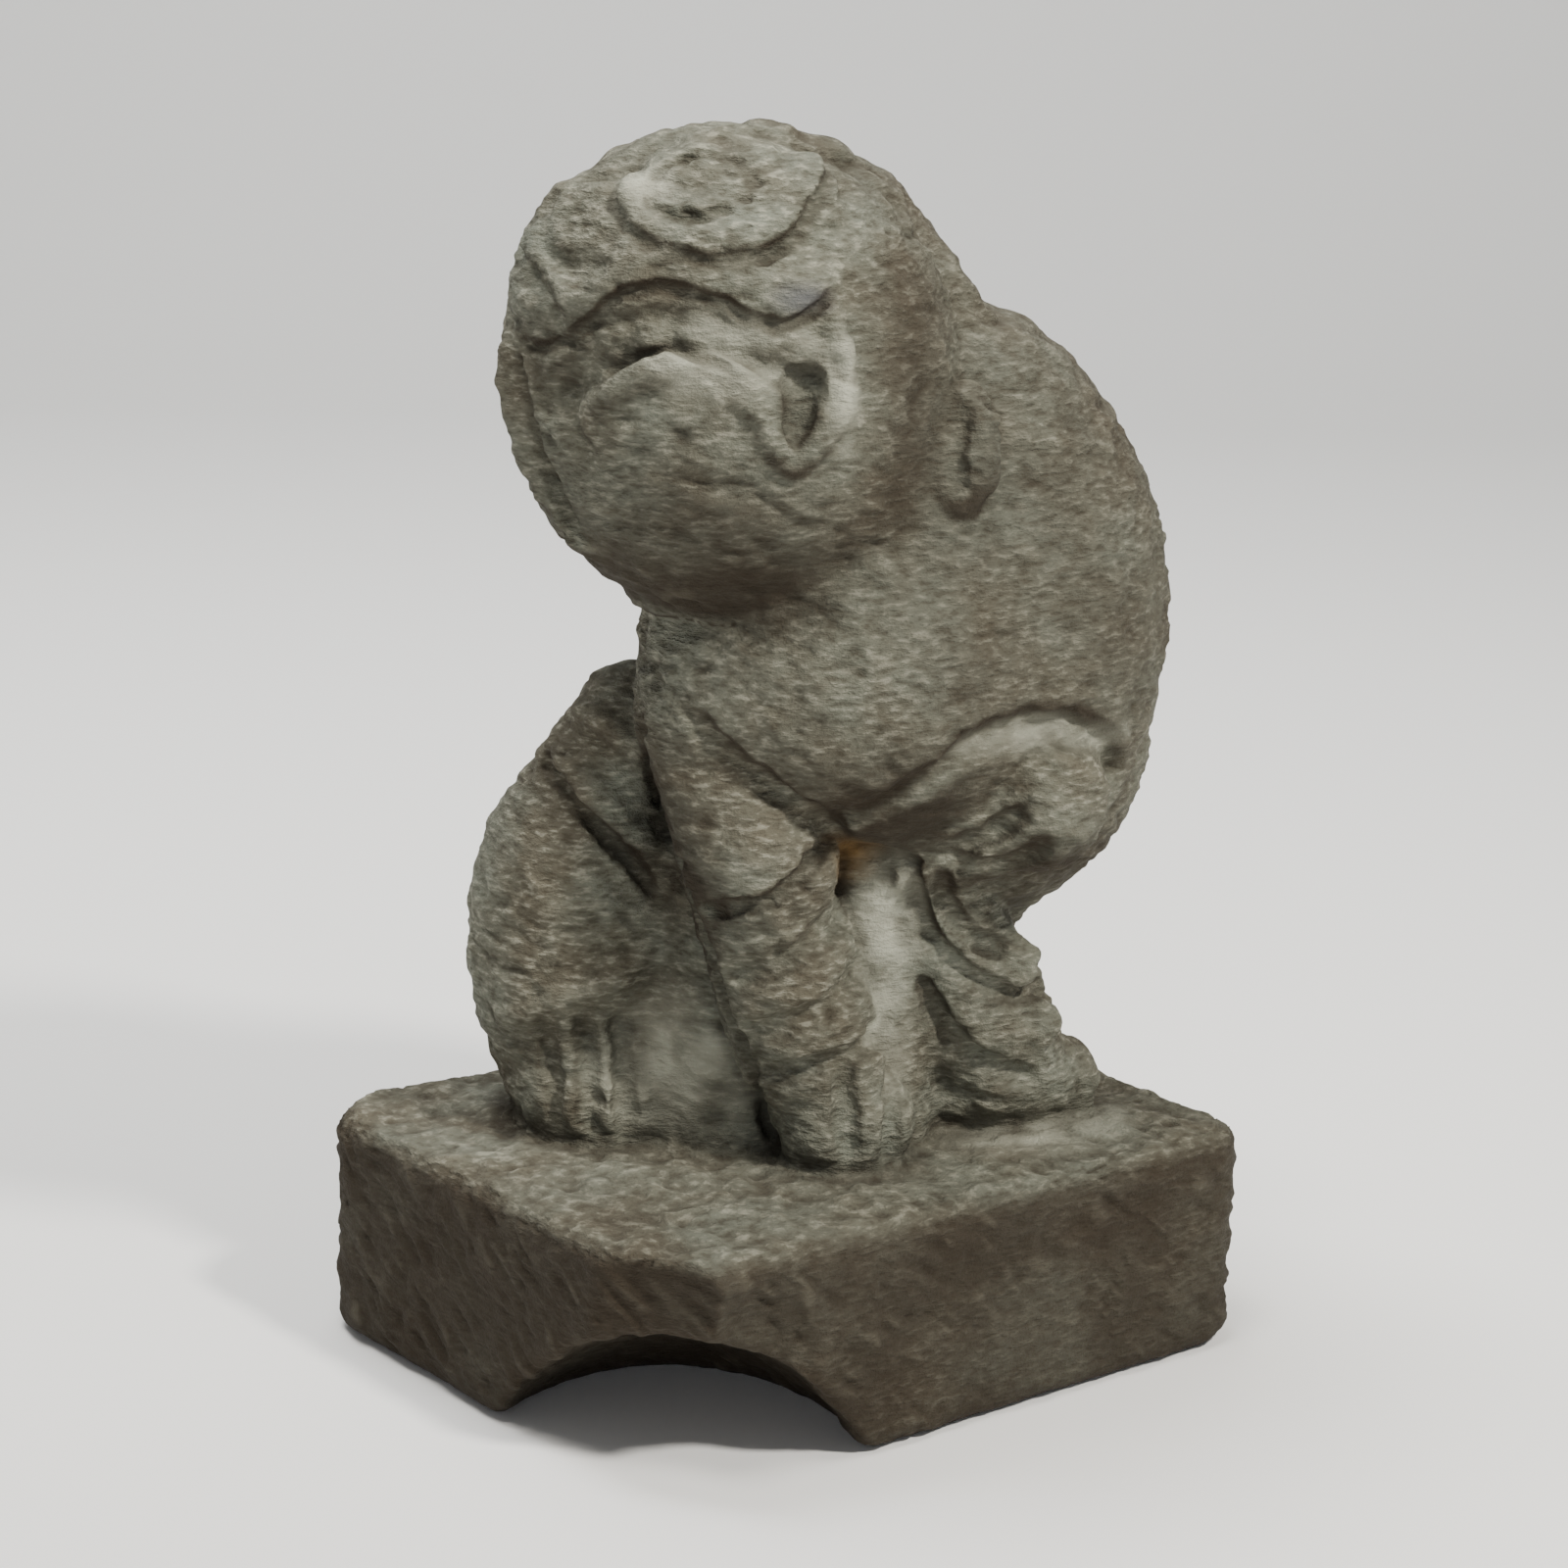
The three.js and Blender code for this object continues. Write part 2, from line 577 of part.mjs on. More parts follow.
// The slab: worn round at its corners and rims
function slabSolid() {
  const [x, y] = [SLAB.length / 2 - SLAB.edge, SLAB.width / 2 - SLAB.edge];
  const { frontLeft, frontRight, backLeft, backRight } = SLAB_CORNERS;
  const plan = new THREE.Shape();
  plan.moveTo(-x + frontLeft, -y);
  plan.lineTo(x - backLeft, -y);
  plan.quadraticCurveTo(x, -y, x, -y + backLeft);
  plan.lineTo(x, y - backRight);
  plan.quadraticCurveTo(x, y, x - backRight, y);
  plan.lineTo(-x + frontRight, y);
  plan.quadraticCurveTo(-x, y, -x, y - frontRight);
  plan.lineTo(-x, -y + frontLeft);
  plan.quadraticCurveTo(-x, -y, -x + frontLeft, -y);
  const block = new THREE.ExtrudeGeometry(plan, {
    depth: SLAB.height - 2 * SLAB.edge,
    bevelSize: SLAB.edge,
    bevelThickness: SLAB.edge,
    bevelSegments: 3,
    curveSegments: 4,
  });
  return solid(block.translate(0, 0, SLAB.edge));
}

// An ellipsoid with half sizes along the axes, turned about +Z and then moved
function ellipsoid(half, at, heading = 0, around = 32) {
  const shape = new THREE.SphereGeometry(1, around, Math.round(0.7 * around));
  shape.scale(...half);
  shape.rotateZ(rad(heading));
  return solid(shape.translate(...at));
}

// The broken corner: a hollow that runs in under the slab, and two flat scars above it
function brokenSlab() {
  const { reach, half, rise, depth, heading, outside } = BREAK;
  const middle = [-SLAB.length / 2 - outside[0], -SLAB.width / 2 - outside[1], -depth];
  const cuts = [
    ellipsoid([reach, half, rise], middle, heading, 40),
    ...SCARS.map((scar) => ellipsoid(scar.half, scar.at)),
  ];
  return cuts.reduce((slab, cut) => slab.subtract(cut), slabSolid());
}

function block() {
  const low = [-SLAB.length / 2, -SLAB.width / 2, GROUND - 25];
  const high = [SLAB.length / 2 + 20, SLAB.width / 2, 590];
  const beast = solid(thinOut(facets(carveBeast(), low, high), BEAST_FACES));
  return brokenSlab().add(beast);
}

function meshOf(made, material, name) {
  const { numProp, vertProperties, triVerts } = made.getMesh();
  const geometry = new THREE.BufferGeometry();
  const places = new Float32Array((vertProperties.length / numProp) * 3);
  for (let i = 0; i < places.length / 3; i++) {
    places.set(vertProperties.subarray(i * numProp, i * numProp + 3), i * 3);
  }
  geometry.setAttribute("position", new THREE.BufferAttribute(places, 3));
  geometry.setIndex(new THREE.BufferAttribute(new Uint32Array(triVerts), 1));
  geometry.computeVertexNormals();
  const mesh = new THREE.Mesh(geometry, material);
  mesh.name = name;
  return mesh;
}

const greyStone = new THREE.MeshStandardMaterial({ color: "#6b6558", roughness: 0.92, metalness: 0 });

const part = new THREE.Group();
part.add(meshOf(block(), greyStone, "carved_beast_and_slab"));

export default part;
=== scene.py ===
"""A squatting guardian beast carved with its slab from one block of coarse grey-green stone.

The carving is built up and cut back from plain rounded shapes, as distances from a surface, and is
meshed finely enough to carry its chisel marks. Carved shapes are in millimetres, in the frame of the
CAD model; Blender's objects are in metres.
"""
from math import cos, radians, sin

import bpy
import numpy as np
from mathutils import Matrix


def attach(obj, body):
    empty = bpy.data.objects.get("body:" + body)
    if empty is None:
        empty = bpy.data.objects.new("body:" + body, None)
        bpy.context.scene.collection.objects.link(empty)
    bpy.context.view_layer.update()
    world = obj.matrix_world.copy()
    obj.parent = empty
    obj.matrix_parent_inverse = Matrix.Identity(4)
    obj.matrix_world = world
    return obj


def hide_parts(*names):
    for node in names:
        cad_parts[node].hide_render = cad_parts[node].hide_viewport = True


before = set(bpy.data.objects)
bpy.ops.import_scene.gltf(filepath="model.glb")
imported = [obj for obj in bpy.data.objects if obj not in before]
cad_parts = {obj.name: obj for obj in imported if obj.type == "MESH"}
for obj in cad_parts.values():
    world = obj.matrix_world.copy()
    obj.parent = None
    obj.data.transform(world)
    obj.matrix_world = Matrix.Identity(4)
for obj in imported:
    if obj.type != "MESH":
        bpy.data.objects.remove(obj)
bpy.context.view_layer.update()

MM = 0.001
FAR = 1000.0

# Driving sizes, in millimetres and degrees, the same as the CAD model's
SLAB = {"length": 345, "width": 284, "height": 105, "edge": 11}
SLAB_CORNERS = {"front_left": 14, "front_right": 40, "back_left": 30, "back_right": 30}
BREAK = {"reach": 215, "half": 125, "rise": 186, "depth": 115, "heading": 51.7, "outside": (4.5, 5)}
HEAD = {"at": (-46.5, -7, 469), "radius": 95, "turn": 212.4, "pitch": 23.7, "tilt": -26.6}
CHIN = {"at": (-37.5, -15, 432), "radius": 84, "fillet": 45}
MANE = {"at": (-8, 14, 460), "radius": 94}
TRUNK = {"at": (76, -18, 341), "half": (97, 108, 136)}
GROUND = SLAB["height"]
BODY_MIDDLE = -14       # y of the plane that the hind legs mirror each other across

CELL = 2.0              # spacing of the grid that the skin is meshed on
FACES = 192000          # triangles left on the finished skin
MARGIN = 8              # room round the slab in that grid
TOP_OF_GRID = 590
FLAT_BELOW = 6          # tool marks fade out over this height, so that the underside stays flat
SIGHT = np.arange(0, 340, 0.7)      # how far in a carver's line is followed, in steps
SIDE_SIGHT_FROM, FACE_SIGHT_FROM = 170, 130

# Tool marks: the cells of their noise across and up, how high they stand, and the number of the pattern
STROKES = {"cell": (12, 12, 4.8), "height": 1.5, "pattern": 11}
FINE_STROKES = {"cell": (7.5, 7.5, 3.4), "height": 1.0, "pattern": 12}
PITS = {"cell": (9, 9, 5), "height": 2.3, "pattern": 13, "level": 0.3}

# Where the stone is painted paler (worn stone and painted light) and darker (dirt and painted shade): the
# middle of a spot and its half size, and for the dark ones how strong they are
MOUTH_CORNER = ((-79, -104, 455), (15, 18, 21))
# Paler spots: partly pale worn stone and partly painted light on places that catch the light, such as the
# strip between the legs, the ground by the hind foot and the thigh's ledge
PALE_WEAR_AND_LIGHT_SPOTS = {
    "between the legs, high": ((4, -68, 214), (22, 22, 52)),
    "between the legs, low": ((2, -66, 160), (20, 20, 64)),
    "ground by the hind foot": ((84, -88, GROUND), (62, 34, 13)),
    "jaw": ((-98, -82, 476), (46, 40, 22)),
    "lip round the mouth's corner": ((-62, -110, 462), (11, 13, 34)),
    "thigh": ((34, -104, 306), (46, 40, 12)),
    "hip": ((78, -96, 300), (36, 40, 12)),
    "between the forelegs": ((-60, 0, 140), (50, 50, 45)),
    "rim of the eye": ((-113, -33, 541), (18, 22, 16)),
}
# Darker spots: painted shade in the mouth's corner, under the chin and along the belly's edge, and darker
# stone at the middle of the eye and on the cheek
DIRT_AND_SHADE_SPOTS = {
    "mouth's corner": ((-79, -104, 457), (13, 16, 20), 1.2),
    "middle of the eye": ((-96, -57, 543), (14, 14, 12), 0.45),
    "cheek": ((-22, -108, 480), (42, 30, 70), 0.3),
    "under the chin": ((-70, -60, 365), (50, 50, 26), 0.8),
    "edge of the belly": ((-20, -95, 283), (45, 40, 32), 0.5),
}
OCHRE_SPOT = ((-20, -62, 250), 22)
SLATE_SPOT = ((-76, -100, 500), (18, 18, 9))


# Directions

def unit(v):
    v = np.asarray(v, float)
    return v / np.linalg.norm(v)


def turned(axis, degrees):
    """Rotation about an axis, given by its number."""
    c, s = cos(radians(degrees)), sin(radians(degrees))
    a, b = (axis + 1) % 3, (axis + 2) % 3
    turn = np.eye(3)
    turn[a, a], turn[a, b], turn[b, a], turn[b, b] = c, -s, s, c
    return turn


HEAD_AXES = (turned(2, HEAD["turn"]) @ turned(1, -HEAD["pitch"]) @ turned(0, -HEAD["tilt"])).T
FORE, LEFT, CROWN = HEAD_AXES
UP = np.array((0.0, 0.0, 1.0))
CARVED_FROM = unit((-0.62, -0.78, 0.1))     # the side that most of the beast is carved from
ACROSS = unit(np.cross(UP, CARVED_FROM))


# Shapes: each gives the distance of points from its surface, negative inside

def length(v):
    return np.sqrt((v * v).sum(-1))


class Ball:
    """An ellipsoid with half sizes along three axes."""
    def __init__(self, centre, half, axes=None):
        self.centre = np.array(centre, float)
        self.half = np.broadcast_to(np.array(half, float), 3)
        self.axes = np.eye(3) if axes is None else np.asarray(axes)
        span = np.sqrt(((self.axes.T * self.half) ** 2).sum(1))
        self.low, self.high = self.centre - span, self.centre + span

    def at(self, p):
        q = (p - self.centre) @ self.axes.T
        near, steep = length(q / self.half), length(q / self.half ** 2)
        return near * (near - 1) / np.maximum(steep, 1e-9)


class Rod:
    """A round stroke along points with a radius at each, on a smooth curve when smooth is above 0."""
    def __init__(self, points, radii, smooth=0):
        points = np.array(points, float)
        radii = np.broadcast_to(np.array(radii, float), len(points))
        if smooth:
            points, radii = through(points, smooth), through(radii[:, None], smooth)[:, 0]
        self.points, self.radii = points, radii
        self.low = (points - radii[:, None]).min(0)
        self.high = (points + radii[:, None]).max(0)

    def at(self, p):
        least = np.full(len(p), FAR)
        for a, b, ra, rb in zip(self.points[:-1], self.points[1:], self.radii[:-1], self.radii[1:]):
            span = b - a
            t = np.clip((p - a) @ span / max(span @ span, 1e-9), 0, 1)
            least = np.minimum(least, length(p - a - t[:, None] * span) - ra - t * (rb - ra))
        return least


def through(points, steps):
    """A Catmull-Rom curve through points, with some steps between each two."""
    padded = np.vstack([2 * points[0] - points[1], points, 2 * points[-1] - points[-2]])
    t = (np.arange(steps) / steps)[:, None]
    curve = []
    for a, b, c, d in zip(padded[:-3], padded[1:-2], padded[2:-1], padded[3:]):
        curve.append(b + t * ((c - a) + t * ((2 * a - 5 * b + 4 * c - d) + t * (3 * b - a - 3 * c + d))) / 2)
    return np.vstack([*curve, points[-1:]])


class Block:
    """A box on the ground with a radius at each upright corner and one round all its rims."""
    def __init__(self, size, corners, edge):
        self.half = np.array(size, float) / 2
        self.centre = np.array([0, 0, self.half[2]])
        self.corners, self.edge = corners, edge
        self.low, self.high = self.centre - self.half, self.centre + self.half

    def at(self, p):
        q = p - self.centre
        front_left, front_right, back_left, back_right = self.corners
        left = q[:, 1] < 0
        front, back = np.where(left, front_left, front_right), np.where(left, back_left, back_right)
        r = np.where(q[:, 0] < 0, front, back)
        over = np.abs(q[:, :2]) - self.half[:2] + r[:, None]
        side = length(np.maximum(over, 0)) + np.minimum(over.max(-1), 0) - r
        rim = np.stack([side + self.edge, np.abs(q[:, 2]) - self.half[2] + self.edge], -1)
        return length(np.maximum(rim, 0)) + np.minimum(rim.max(-1), 0) - self.edge


class Mirrored:
    """A shape seen in a mirror across the body's middle, and moved along it."""
    def __init__(self, shape, middle, ahead=0):
        self.shape, self.middle, self.ahead = shape, middle, ahead
        ends = self.back(np.array([shape.low, shape.high]))
        self.low, self.high = ends.min(0), ends.max(0)

    def back(self, p):
        return p * (1, -1, 1) + (-self.ahead, 2 * self.middle, 0)

    def at(self, p):
        return self.shape.at((p + (self.ahead, 0, 0)) * (1, -1, 1) + (0, 2 * self.middle, 0))


def melt(a, b, fillet):
    """The lesser of two distances, with a fillet where they meet."""
    if fillet <= 0:
        return np.minimum(a, b)
    h = np.maximum(fillet - np.abs(a - b), 0) / fillet
    return np.minimum(a, b) - h * h * fillet / 4


class Carving:
    """Stone built up and cut back in order."""
    REACH = 18          # a shape counts this far out from its own box, beyond its fillet

    def __init__(self):
        self.steps = []
        self.low, self.high = np.full(3, FAR), np.full(3, -FAR)

    def add(self, shape, fillet=0):
        self.steps.append((shape, fillet, False))
        self.low = np.minimum(self.low, shape.low - fillet)
        self.high = np.maximum(self.high, shape.high + fillet)
        return self

    def cut(self, shape, fillet=0):
        self.steps.append((shape, fillet, True))
        return self

    def at(self, p):
        d = np.full(len(p), FAR)
        for shape, fillet, cut in self.steps:
            out = fillet + self.REACH
            near = ((p > shape.low - out) & (p < shape.high + out)).all(-1)
            if not near.any():
                continue
            v = shape.at(p[near])
            d[near] = -melt(-d[near], v, fillet) if cut else melt(d[near], v, fillet)
        return d


# The carver's view: mm across to the right and up, seen from the side that most of the beast is carved from

def seen(path):
    return np.array([ACROSS * across + UP * up for across, up in path])


def landed(stone, starts, ways, out):
    """Moves points along their ways until they meet the stone, and then lifts them out of it."""
    points = []
    for start, way, lift in zip(starts, ways, np.broadcast_to(out, len(starts))):
        line = start - SIGHT[:, None] * way
        d = stone.at(line)
        first = int(np.argmax(d < 0)) if (d < 0).any() else int(np.argmin(d))
        points.append(line[first] + (lift + d[first]) * way)
    return np.array(points)


def on_side(stone, path, out):
    starts = seen(path) + SIDE_SIGHT_FROM * CARVED_FROM
    return landed(stone, starts, [CARVED_FROM] * len(starts), out)


def on_face(stone, path, out):
    """Like on_side, for degrees left and up on the head."""
    ways = np.array([head_way(left, up) for left, up in path])
    return landed(stone, np.array(HEAD["at"]) + FACE_SIGHT_FROM * ways, ways, out)


def fading(points, width):
    """1 along a stroke, falling to 0 over the last width at each of its ends."""
    gone = np.concatenate([[0], np.cumsum(length(np.diff(points, axis=0)))])
    share = np.clip(np.minimum(gone, gone[-1] - gone) / width, 0, 1)
    return np.sqrt(share * (2 - share))


def groove(stone, drop, path, width, depth, fillet=2):
    """A valley of this width and depth along a path, running out at both its ends."""
    radius = (width ** 2 / 4 + depth ** 2) / (2 * depth)
    path = through(np.array(path, float), 4)
    share = fading(drop(stone, path, 0), width)
    stone.cut(Rod(drop(stone, path, radius - depth * share), radius), fillet)


def ridge(stone, drop, path, width, height, fillet=3):
    """Like groove, but standing proud."""
    radius = (width ** 2 / 4 + height ** 2) / (2 * height)
    path = through(np.array(path, float), 4)
    share = fading(drop(stone, path, 0), width)
    stone.add(Rod(drop(stone, path, height * share - radius), radius), fillet)


def boss(stone, place, half, out=0.0, roll=0, fillet=4):
    """A lump on the carved side: its half sizes across, up and out."""
    c, s = cos(radians(roll)), sin(radians(roll))
    rise = np.cross(CARVED_FROM, ACROSS)
    axes = [c * ACROSS + s * rise, c * rise - s * ACROSS, CARVED_FROM]
    stone.add(Ball(on_side(stone, [place], out)[0], half, axes), fillet)


# The head's skin

def head_way(left, up):
    """Direction from the head's middle, by degrees round to its left and up."""
    a, b = radians(left), radians(up)
    return FORE * cos(b) * cos(a) + LEFT * cos(b) * sin(a) + CROWN * sin(b)


def skin(left, up, out=0.0):
    """A point out mm proud of the head's skin, which is the cranium or the chin."""
    way = head_way(left, up)
    offset = np.subtract(CHIN["at"], HEAD["at"])
    along = offset @ way
    h = along ** 2 - offset @ offset + CHIN["radius"] ** 2
    reach = max(HEAD["radius"], along + np.sqrt(h) if h > 0 else 0)
    return np.array(HEAD["at"]) + way * (reach + out)


def facing(left, up, roll=0):
    """Axes of a lump on the skin: across the face, up it, and out of it, rolled by some degrees."""
    out = head_way(left, up)
    across = unit(head_way(left + 1, up) - head_way(left - 1, up))
    rise = np.cross(out, across)
    c, s = cos(radians(roll)), sin(radians(roll))
    return np.array([c * across + s * rise, c * rise - s * across, out])


def lump(stone, place, half, out, roll=0, fillet=7):
    """A lump on the head: its half sizes across, up and out, and how far out of the skin its middle is."""
    left, up = place
    stone.add(Ball(skin(left, up, out), half, facing(left, up, roll)), fillet)


# The head

def build_face(stone):
    """The masses of brow, nose, eyes and muzzle, before anything is cut into them."""
    between_the_brows = Ball((-107, 2, 511), 31)
    stone.add(between_the_brows, 16)
    far_eye, far_brow, near_brow, nose = (-37, 20), (3, 50), (45, 40), (-6, 20)
    lump(stone, far_eye, (18, 24, 14), -6, 0, 8)
    lump(stone, far_brow, (24, 12, 9), -6, 10, 7)
    lump(stone, near_brow, (30, 11, 9), -6, -10, 7)
    lump(stone, nose, (12, 25, 11), -5, 8, 8)
    muzzle, near_lip, near_eye, lip_end = (-4, 4), (25, -9), (27, 19), (36, -15)
    lump(stone, muzzle, (44, 13, 12), -7, -6, 10)
    lump(stone, near_lip, (30, 12, 11), -7, -16, 10)
    lump(stone, near_eye, (46, 32, 16), -9.5, -12, 5)
    lump(stone, lip_end, (17, 10, 10), -3, 10, 5)


def carve_eyes(stone):
    lower_lid = [(0, 28), (0, 17), (5, 8), (13, 3), (26, 2), (38, 6), (48, 15), (55, 27)]
    ridge(stone, on_face, lower_lid, 14, 3.4, 4)
    under_lid = [(-3, 29), (-3, 18), (2, 7), (8, 1), (15, -3), (26, -4), (37, -1), (46, 7),
                 (56, 20), (57, 33)]
    groove(stone, on_face, under_lid, 7, 2.4)
    under_brow = [(-15, 38), (-3, 37), (5, 35)]
    groove(stone, on_face, under_brow, 8, 2)
    iris_rim = [(19 + 13 * sin(a), 19 + 9.5 * cos(a)) for a in np.radians(range(0, 391, 30))]
    groove(stone, on_face, iris_rim, 6, 2)
    iris = [(12, 20), (19, 18), (27, 16)]
    groove(stone, on_face, iris, 22, 3.4, 3)
    beside_nose = [(-23, 36), (-25, 27), (-24, 18), (-18, 10), (-10, 6)]
    groove(stone, on_face, beside_nose, 11, 3)
    beside_far_eye = [(-41, 32), (-38, 24), (-31, 15), (-28, 6), (-29, -1)]
    groove(stone, on_face, beside_far_eye, 11, 4)


def carve_mouth(stone):
    """An open snarl: worn teeth behind the lower lip, and a deep corner with a pale lip round it."""
    gape = [(-44, -13), (-34, -13), (-21, -12), (-8, -13), (3, -17), (13, -23), (24, -29), (34, -30)]
    groove(stone, on_face, gape, 24, 5.6, 3)
    lower_lip = [(-30, -22), (-18, -22), (-7, -23), (4, -25), (12, -30), (18, -37)]
    ridge(stone, on_face, lower_lip, 11, 4, 3)
    for tooth in ((-16, -10), (-6, -12), (6, -18)):
        lump(stone, tooth, (9, 9, 7), -7, -20, 3)
    under_teeth = [(-20, -17), (-8, -18), (2, -21), (11, -27)]
    groove(stone, on_face, under_teeth, 6, 2)
    corner_lip = [(40, -19), (43, -26), (45, -34), (43, -43), (35, -50), (25, -54), (19, -49),
                  (16, -41), (13, -33)]
    ridge(stone, on_face, corner_lip, 12, 5)
    corner = on_face(stone, [(32, -36), (31, -39), (29, -43), (26, -48)], -1)
    stone.cut(Rod(corner, (9, 9, 7, 4), 3), 2)
    last_tooth = (29, -26)
    lump(stone, last_tooth, (17, 9, 9), -6, -10, 2)
    under_upper_lip = [(-44, 4), (-36, -2), (-27, -4), (-18, -4), (-8, -2), (3, -5), (14, -12), (20, -18),
                       (28, -22), (36, -20), (43, -16)]
    groove(stone, on_face, under_upper_lip, 6, 3)
    far_corner = [(-35, -12), (-38, -17), (-40, -23), (-39, -30)]
    groove(stone, on_face, far_corner, 10, 3, 3)


def carve_hair(stone):
    """The far whiskers and ear, tufts over the near ear, and the mane's rim behind the crown."""
    far_ear = [(-54, 12), (-58, 2), (-62, -11), (-66, -25), (-72, -38), (-78, -46)]
    ridge(stone, on_face, far_ear, 16, 6)
    before_far_ear = [(-49, 2), (-51, -8), (-55, -18), (-60, -29), (-67, -39)]
    groove(stone, on_face, before_far_ear, 9, 3)
    for tuft in ((79, 36), (86, 24), (62, 46)):
        lump(stone, tuft, (14, 14, 9), -3, 0, 5)
    stone.add(Ball((-16, -17, 531), 28), 8).add(Ball((5, -24, 519), 30), 8)
    rim = [(23, -28, 530), (27, -41, 512), (35, -54, 492), (39, -60, 477), (26, -72, 462), (16, -79, 448)]
    stone.add(Rod(rim, (11, 13, 15, 15, 12, 8), 4), 6)


def carve_head():
    stone = Carving()
    stone.add(Ball(HEAD["at"], HEAD["radius"])).add(Ball(CHIN["at"], CHIN["radius"]), CHIN["fillet"])
    build_face(stone)
    carve_eyes(stone)
    carve_mouth(stone)
    stone.add(Ball(MANE["at"], MANE["radius"]), 5)
    carve_hair(stone)
    return stone


# The body

def carve_trunk():
    """The hump, chest, belly and shoulder, the stone left under the belly, and a short flat tail."""
    stone = Carving()
    stone.add(Ball(TRUNK["at"], TRUNK["half"]))
    chest, belly = Ball((-3, -52, 324), (74, 72, 74)), Ball((75, -10, 262), (75, 92, 54))
    stone.add(chest, 34).add(belly, 36)
    stone.add(Rod([(12, -18, 405), (-24, -8, 355), (-46, -14, 335), (-56, -20, 308)], (78, 48, 40, 35)), 40)
    shoulder = Ball((55, -50, 434), 45)
    stone.add(shoulder, 30)
    stone.add(Rod([(62, -4, 215), (54, -2, 104)], (56, 52)), 24)
    stone.add(Rod([(12, 4, 230), (10, 6, 104)], (44, 46)), 20)
    tail = [(126, -8, 198), (142, -10, 222), (150, -12, 250), (155, -14, 280), (156, -8, 306)]
    stone.add(Rod(tail, (11, 13, 13, 12, 8), 4), 5)
    stone.add(Rod([(150, -6, 262), (155, -22, 284), (153, -36, 298)], (10, 10, 7), 4), 4)
    return stone


def carve_hind_leg():
    """A round knob at the hip, the thigh forward to the knee, and the shank back and down to a long foot."""
    stone = Carving()
    stone.add(Ball((59, -106, 272), (30, 30, 31)))
    thigh = [(58, -103, 270), (38, -88, 258), (16, -74, 248)]
    shank = [(34, -64, 222), (57, -60, 176), (77, -60, 136)]
    foot = [(56, -56, 122), (86, -66, 125), (111, -66, 121)]
    stone.add(Rod(thigh, (27, 25, 21), 3), 6)
    stone.add(Rod(shank, (24, 34, 32), 3), 5)
    stone.add(Rod(foot, (17, 23, 20), 3), 6)
    thigh_fold = [(40, 248), (59, 254), (72, 249), (86, 252), (102, 264)]
    under_thigh = [(36, 238), (48, 240), (67, 242), (81, 237), (99, 238), (114, 248)]
    long_lock = [(52, 240), (56, 226), (60, 212), (67, 198), (84, 183), (106, 174), (122, 172)]
    short_lock = [(66, 236), (72, 218), (80, 206), (94, 197), (110, 194)]
    before_foot = [(42, 232), (44, 214), (50, 196), (60, 178), (72, 160), (86, 144), (102, 134), (118, 131)]
    groove(stone, on_side, thigh_fold, 11, 5.2, 3)
    groove(stone, on_side, under_thigh, 13, 6.5, 3)
    groove(stone, on_side, long_lock, 11, 6, 3)
    groove(stone, on_side, short_lock, 10, 5.5, 3)
    groove(stone, on_side, before_foot, 13, 6, 3)
    boss(stone, (104, 188), (13, 11, 9), -3, 10)
    boss(stone, (115, 158), (12, 11, 9), -3, 0)
    return stone


def carve_far_foreleg():
    stone = Carving()
    leg = [(-56, 38, 290), (-68, 55, 249), (-71, 63, 214), (-69, 63, 167), (-63, 60, 130)]
    stone.add(Rod(leg, (33, 39, 51, 52, 45), 4))
    paw = Ball((-80, 38, GROUND + 18), (36, 38, 26))
    stone.add(paw, 14)
    upper_frill = [(-92, 300), (-84, 297), (-75, 291), (-64, 280), (-52, 264)]
    lower_frill = [(-104, 281), (-97, 275), (-87, 265), (-74, 250), (-60, 234)]
    under_frills = [(-112, 276), (-102, 267), (-90, 254), (-74, 236), (-58, 218)]
    cuff = [(-128, 156), (-115, 163), (-96, 171), (-78, 178), (-64, 190)]
    ridge(stone, on_side, upper_frill, 14, 5)
    ridge(stone, on_side, lower_frill, 14, 6)
    groove(stone, on_side, under_frills, 9, 5)
    ridge(stone, on_side, cuff, 11, 4)
    between_toes = ([(-108, 158), (-106, 136), (-103, 116), (-102, 110)],
                    [(-91, 164), (-89, 138), (-87, 116), (-86, 108)],
                    [(-74, 162), (-72, 136), (-70, 114), (-70, 107)])
    for path in between_toes:
        groove(stone, on_side, path, 11, 5.5, 3)
    return stone


def carve_near_foreleg():
    """The upper arm hangs over the forearm like a short sleeve."""
    stone = Carving()
    forearm = [(-54, -38, 240), (-43, -47, 210), (-31, -50, 172), (-20, -53, 148)]
    stone.add(Rod(forearm, (28, 33, 34, 31), 3))
    paw = Ball((-14, -63, GROUND + 18), (33, 29, 26))
    stone.add(paw, 8)
    sleeve = [(-66, -25, 300), (-60, -33, 280), (-54, -43, 256), (-51, -46, 244)]
    stone.add(Rod(sleeve, (26, 31, 35, 35), 3), 2)
    under_sleeve = [(-36, 218), (-26, 222), (-12, 225), (2, 233), (14, 246), (20, 256)]
    groove(stone, on_side, under_sleeve, 9, 5, 2)
    folds = [(-26, 190), (-8, 196), (12, 206), (34, 222)], [(-18, 163), (2, 169), (22, 178), (42, 196)]
    for fold in folds:
        groove(stone, on_side, fold, 14, 6, 3)
    cuff = [(-12, 145), (0, 146), (17, 150), (35, 155), (52, 166)]
    groove(stone, on_side, cuff, 12, 7, 3)
    between_toes = [(26, 152), (28, 130), (29, 112), (29, 105)], [(47, 156), (49, 132), (50, 112), (50, 105)]
    for path in between_toes:
        groove(stone, on_side, path, 12, 6, 3)
    return stone


